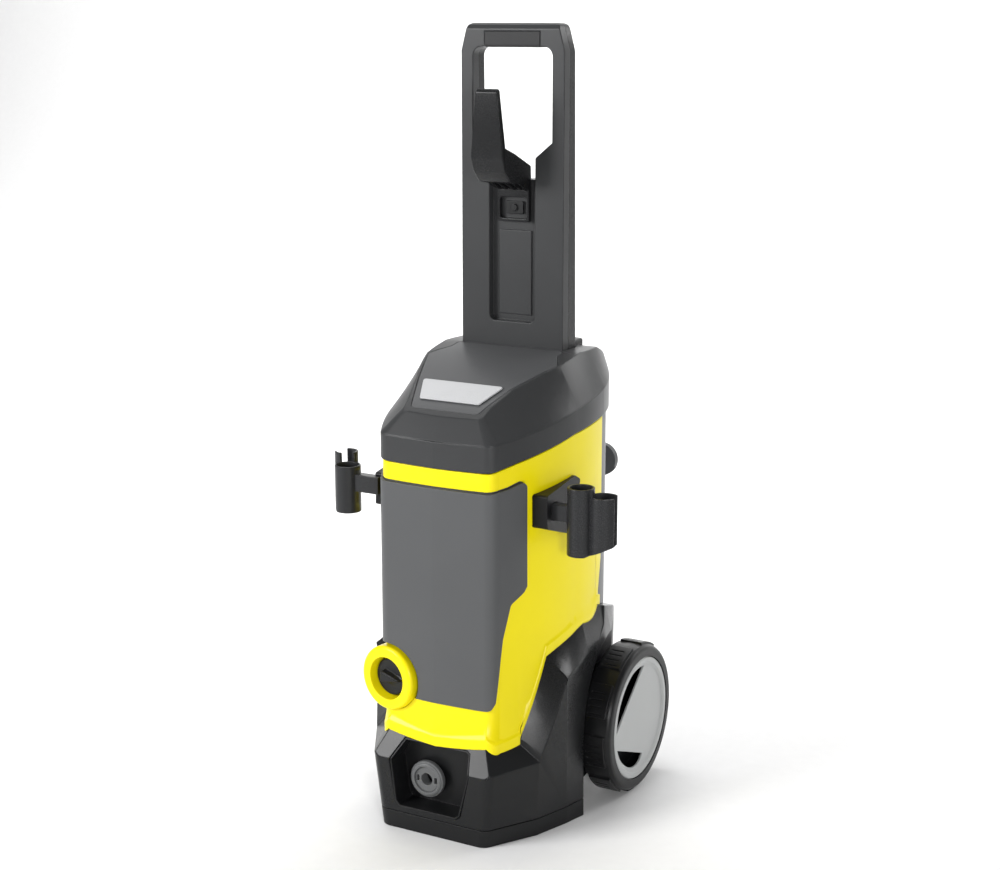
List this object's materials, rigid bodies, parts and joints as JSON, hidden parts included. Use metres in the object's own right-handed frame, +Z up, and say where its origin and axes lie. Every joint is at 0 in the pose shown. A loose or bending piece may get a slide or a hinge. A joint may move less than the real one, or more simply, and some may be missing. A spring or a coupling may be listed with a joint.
{
  "type": "pressure washer",
  "caption": "Upright electric pressure washer on two wheels, with a pull-out handle, hose hook, lance holders, a rotary power switch and a front hose outlet.",
  "frame": {"origin": "on the underside of the floor pan, in the plane of symmetry, at floor level", "axes": "+Z up, -Y is the front with the switch and outlet, +X is the right-hand side seen from the front"},
  "size_m": [0.3902, 0.4431, 0.98],
  "materials": {
    "yellow_plastic": "semi-gloss, fine moulded skin",
    "graphite_plastic": "satin, fine moulded grain",
    "black_plastic": "matt, fine moulded grain",
    "light_grey_plastic": "satin, fine moulded grain",
    "silver_plate": "smooth silver lacquer",
    "tyre_plastic": "semi-matt hard tyre",
    "soft_grip": "soft-touch, matt",
    "rubber": "matt",
    "steel": "turned and zinc plated",
    "aluminium": "cast, as made",
    "laminated_steel": "stacked laminations, varnished",
    "brass": "turned",
    "coupling_grey": "semi-gloss glass-filled plastic"
  },
  "bodies": {
    "housing": {"axle": "steel", "axle_clips": "steel", "badge_plate": "silver_plate", "base_shell": "graphite_plastic", "bearings": "steel", "bonnet_panel": "graphite_plastic", "bracket_left": "black_plastic", "bracket_right": "black_plastic", "capacitor": "aluminium", "cord_gland": "rubber", "cover_screws": "steel", "cylinder_head": "aluminium", "floor_pan": "black_plastic", "foot_strips": "rubber", "front_panel": "graphite_plastic", "guide_rail_left": "black_plastic", "guide_rail_right": "black_plastic", "handle_collar": "black_plastic", "head_bolts": "steel", "holder_left": "graphite_plastic", "holder_right": "graphite_plastic", "hook_post": "graphite_plastic", "inlet_filter": "light_grey_plastic", "inlet_nipple": "brass", "inlet_pipe": "black_plastic", "lower_hook": "graphite_plastic", "motor_end_cap": "aluminium", "motor_jacket": "aluminium", "outlet_nipple": "coupling_grey", "outlet_seal": "rubber", "piston_springs": "steel", "pistons": "steel", "pump_housing": "aluminium", "pump_mounts": "rubber", "rear_cover": "graphite_plastic", "recess_liner": "black_plastic", "stator": "laminated_steel", "switch_bezel": "yellow_plastic", "switch_box": "black_plastic", "top_cover": "graphite_plastic", "yellow_casing": "yellow_plastic"},
    "handle": {"handle_front": "graphite_plastic", "handle_back": "graphite_plastic", "handle_grip": "soft_grip", "hose_hook": "black_plastic", "hook_clip": "black_plastic"},
    "wheel_right": {"tyre_right": "tyre_plastic", "rim_right": "black_plastic", "hub_cap_right": "light_grey_plastic"},
    "wheel_left": {"tyre_left": "tyre_plastic", "rim_left": "black_plastic", "hub_cap_left": "light_grey_plastic"},
    "switch": {"switch_knob": "graphite_plastic", "switch_shaft": "black_plastic"},
    "coupling_collar": {"release_collar": "coupling_grey"},
    "cable_hook_arm": {"cable_hook": "graphite_plastic"},
    "lock": {"lock_button": "yellow_plastic"},
    "motor_rotor": {"rotor": "laminated_steel", "motor_shaft": "steel", "swash_plate": "steel"}
  },
  "joints": [
    {"name": "handle_slide", "type": "slide", "parent": "housing", "child": "handle", "axis": [0, 0, 1], "range_m": [-0.192, 0]},
    {"name": "lock_button_press", "type": "slide", "parent": "housing", "child": "lock", "axis": [0, 0, -1], "range_m": [0, 0.004], "stiffness_N_per_m": 1500, "springref_m": -0.002},
    {"name": "wheel_right_spin", "type": "hinge", "parent": "housing", "child": "wheel_right", "pos_m": [0.14, 0.102, 0.0987], "axis": [1, 0, 0], "continuous": true},
    {"name": "wheel_left_spin", "type": "hinge", "parent": "housing", "child": "wheel_left", "pos_m": [-0.14, 0.102, 0.0987], "axis": [1, 0, 0], "continuous": true},
    {"name": "switch_turn", "type": "hinge", "parent": "housing", "child": "switch", "pos_m": [-0.07, -0.146, 0.1917], "axis": [0.1736, 0.9848, 0], "range_deg": [0, 90]},
    {"name": "release_collar_push", "type": "slide", "parent": "housing", "child": "coupling_collar", "axis": [0, 1, 0], "range_m": [0, 0.003], "stiffness_N_per_m": 800, "springref_m": -0.002},
    {"name": "cable_hook_turn", "type": "hinge", "parent": "housing", "child": "cable_hook_arm", "pos_m": [0, 0.2, 0.391], "axis": [0, 1, 0], "range_deg": [0, 90]},
    {"name": "rotor_spin", "type": "hinge", "parent": "housing", "child": "motor_rotor", "pos_m": [0, -0.042, 0.3], "axis": [0, 0, 1], "continuous": true}
  ]
}
